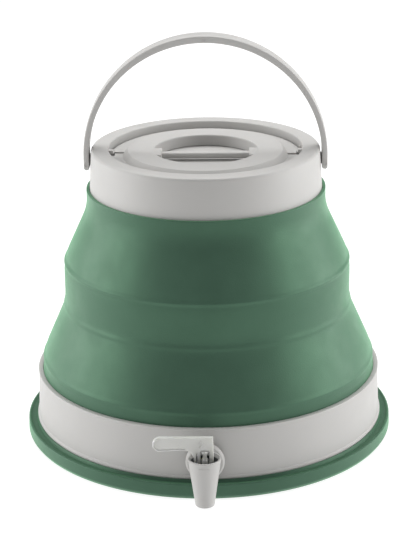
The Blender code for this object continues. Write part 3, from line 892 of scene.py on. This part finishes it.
def paddle_end():
    """The paddle's round left end, from its lower side round to its upper side."""
    half = (LEVER_TOP - PADDLE_BOTTOM + PADDLE_SAG) / 2
    return arc((LEVER_LEFT + half, LEVER_TOP - half), half, 268, 92, 16)


def paddle_underside():
    """The curve from the outer leg up to the paddle's underside, and along its waist."""
    width = 0.0062
    height = PADDLE_BOTTOM - LEVER_FOOT - 0.0030
    x, z = -0.0136, LEVER_FOOT + 0.0030
    turn = [math.radians(angle) for angle in range(0, 91, 10)]
    curve = [(x + width * math.cos(a), z + height * math.sin(a)) for a in turn]
    return [*curve, (-0.0200, PADDLE_BOTTOM + 0.0002), (-0.0270, PADDLE_BOTTOM - 0.0003)]


def tap_lever():
    """Paddle on three thin legs, of which the left one curves out into its underside."""
    points = [
        (LEVER_RIGHT - 0.0004, LEVER_TOP),
        (LEVER_RIGHT, LEVER_TOP - 0.0080),
        (LEVER_RIGHT, LEVER_FOOT),
        (WINDOW[1], LEVER_FOOT),
        (WINDOW[1], WINDOW_TOP - 0.0006),
        (WINDOW[1] - 0.0006, WINDOW_TOP),
        (WINDOW[0] + 0.0006, WINDOW_TOP),
        (WINDOW[0], WINDOW_TOP - 0.0006),
        (WINDOW[0], LEVER_FOOT),
        (-0.0050, LEVER_FOOT),
        (-0.0050, LEVER_FOOT + 0.0082),
        (-0.0058, LEVER_FOOT + 0.0082),
        (-0.0058, LEVER_FOOT),
        (-0.0072, LEVER_FOOT),
        *paddle_underside(),
        *paddle_end(),
        (-0.0240, LEVER_TOP - 0.0001),
    ]
    lever = plate("tap_paddle", points, TAP_Y, LEVER_THICKNESS, 0.0005)
    dress(lever, CLEAR, "tap_valve", ["tap_lever"])


def lever_rim():
    """Raised rim round the paddle's broad end and along its underside."""
    inset = 0.0007
    half = (LEVER_TOP - PADDLE_BOTTOM + PADDLE_SAG) / 2
    centre = (LEVER_LEFT + half, LEVER_TOP - half)
    line = [(-0.0135, PADDLE_BOTTOM + inset), (-0.0200, PADDLE_BOTTOM + 0.0002 + inset)]
    line += arc(centre, half - inset, 268, 110, 24)
    for side, word in ((-1, "front"), (1, "back")):
        curve = bpy.data.curves.new(f"lever_rim_{word}", "CURVE")
        curve.dimensions = "3D"
        curve.bevel_depth = 0.0006
        curve.bevel_resolution = 3
        curve.use_fill_caps = True
        spline = curve.splines.new("POLY")
        spline.points.add(len(line) - 1)
        y = TAP_Y + side * LEVER_THICKNESS / 2
        for point, (x, z) in zip(spline.points, line):
            point.co = (x, y, z, 1.0)
        tube = applied_curve(f"lever_rim_{word}", curve)
        dress(smooth(tube, 60), CLEAR, "tap_valve")


def lever_arrow():
    """Raised chevron on both faces of the lever, which shows the way it turns."""
    depth = 0.0009
    arm = 0.0024
    stroke = 0.0010
    left = -0.0032
    middle = (LEVER_TOP + WINDOW_TOP) / 2
    for side, word in ((-1, "front"), (1, "back")):
        y = TAP_Y + side * (LEVER_THICKNESS / 2 + depth / 2 - 0.0001)
        points = [
            (left, middle + arm),
            (left + stroke, middle + arm),
            (left + stroke + arm, middle),
            (left + stroke, middle - arm),
            (left, middle - arm),
            (left + arm, middle),
        ]
        chevron = plate(f"lever_chevron_{word}", points, y, depth, 0.0001)
        dress(chevron, CLEAR, "tap_valve")


# CAD nodes that keep their shape


def carried_over():
    keep = {
        "lid_gasket": DARK,
        "tap_outer_washer": DARK,
        "tap_inner_washer": DARK,
        "tap_upper_o_ring": DARK,
        "tap_lower_o_ring": DARK,
        "handle_pivot_pin_left": WHITE,
        "handle_pivot_pin_right": WHITE,
        "tap_nut": WHITE,
        "tap_rotor": BLACK,
        "tap_stem": CLEAR,
    }
    for name, material in keep.items():
        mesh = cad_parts[name].data
        mesh.materials.clear()
        mesh.materials.append(material)


# Studio

CAMERA_PLACE = (0.0323, -1.3783, 0.6157)
CAMERA_PITCH = 0.3408    # below the horizon, in radians
CAMERA_TURN = 0.0243
CAMERA_ROLL = -0.0136
CAMERA_LENS = 125.95
LIGHT_TARGET = (0.0, 0.0, 0.12)


def softbox(name, place, size, power):
    light = bpy.data.lights.new(name, "AREA")
    light.shape = "RECTANGLE"
    light.size, light.size_y = size
    light.energy = power
    obj = bpy.data.objects.new(name, light)
    bpy.context.scene.collection.objects.link(obj)
    obj.location = place
    obj.rotation_euler = (Vector(LIGHT_TARGET) - Vector(place)).to_track_quat("-Z", "Y").to_euler()


def studio():
    bm = bmesh.new()
    bmesh.ops.create_grid(bm, x_segments=1, y_segments=1, size=6.0)
    floor = linked("floor", mesh_from("floor", bm))
    floor.data.materials.append(floor_paint())
    world = bpy.data.worlds.new("studio")
    world.use_nodes = True
    bpy.context.scene.world = world
    tree = world.node_tree
    background = tree.nodes["Background"]
    background.inputs["Color"].default_value = (1.0, 1.0, 1.0, 1.0)
    background.inputs["Strength"].default_value = 0.22
    softbox("left", (-1.5, 0.0, 0.50), (1.6, 1.2), 26.0)
    softbox("right", (1.5, 0.0, 0.50), (1.6, 1.2), 26.0)
    softbox("above", (0.0, 0.7, 1.7), (1.6, 1.2), 32.0)
    scene = bpy.context.scene
    scene.view_settings.view_transform = "Standard"


def camera():
    data = bpy.data.cameras.new("camera")
    data.lens = CAMERA_LENS
    data.sensor_width = 36.0
    data.sensor_fit = "AUTO"
    data.clip_end = 50.0
    obj = bpy.data.objects.new("camera", data)
    bpy.context.scene.collection.objects.link(obj)
    turn = Matrix.Rotation(CAMERA_TURN, 4, "Z")
    tilt = Matrix.Rotation(math.pi / 2 - CAMERA_PITCH, 4, "X")
    roll = Matrix.Rotation(CAMERA_ROLL, 4, "Z")
    obj.matrix_world = Matrix.Translation(CAMERA_PLACE) @ turn @ tilt @ roll
    bpy.context.scene.camera = obj


camera()
studio()
foot_ring()
base_tray()
wall_lower()
wall_upper()
collar()
handle()
lid_cap()
lid_plug()
tap_body()
cup_shade_sleeve()
tap_lever()
lever_rim()
lever_arrow()
carried_over()
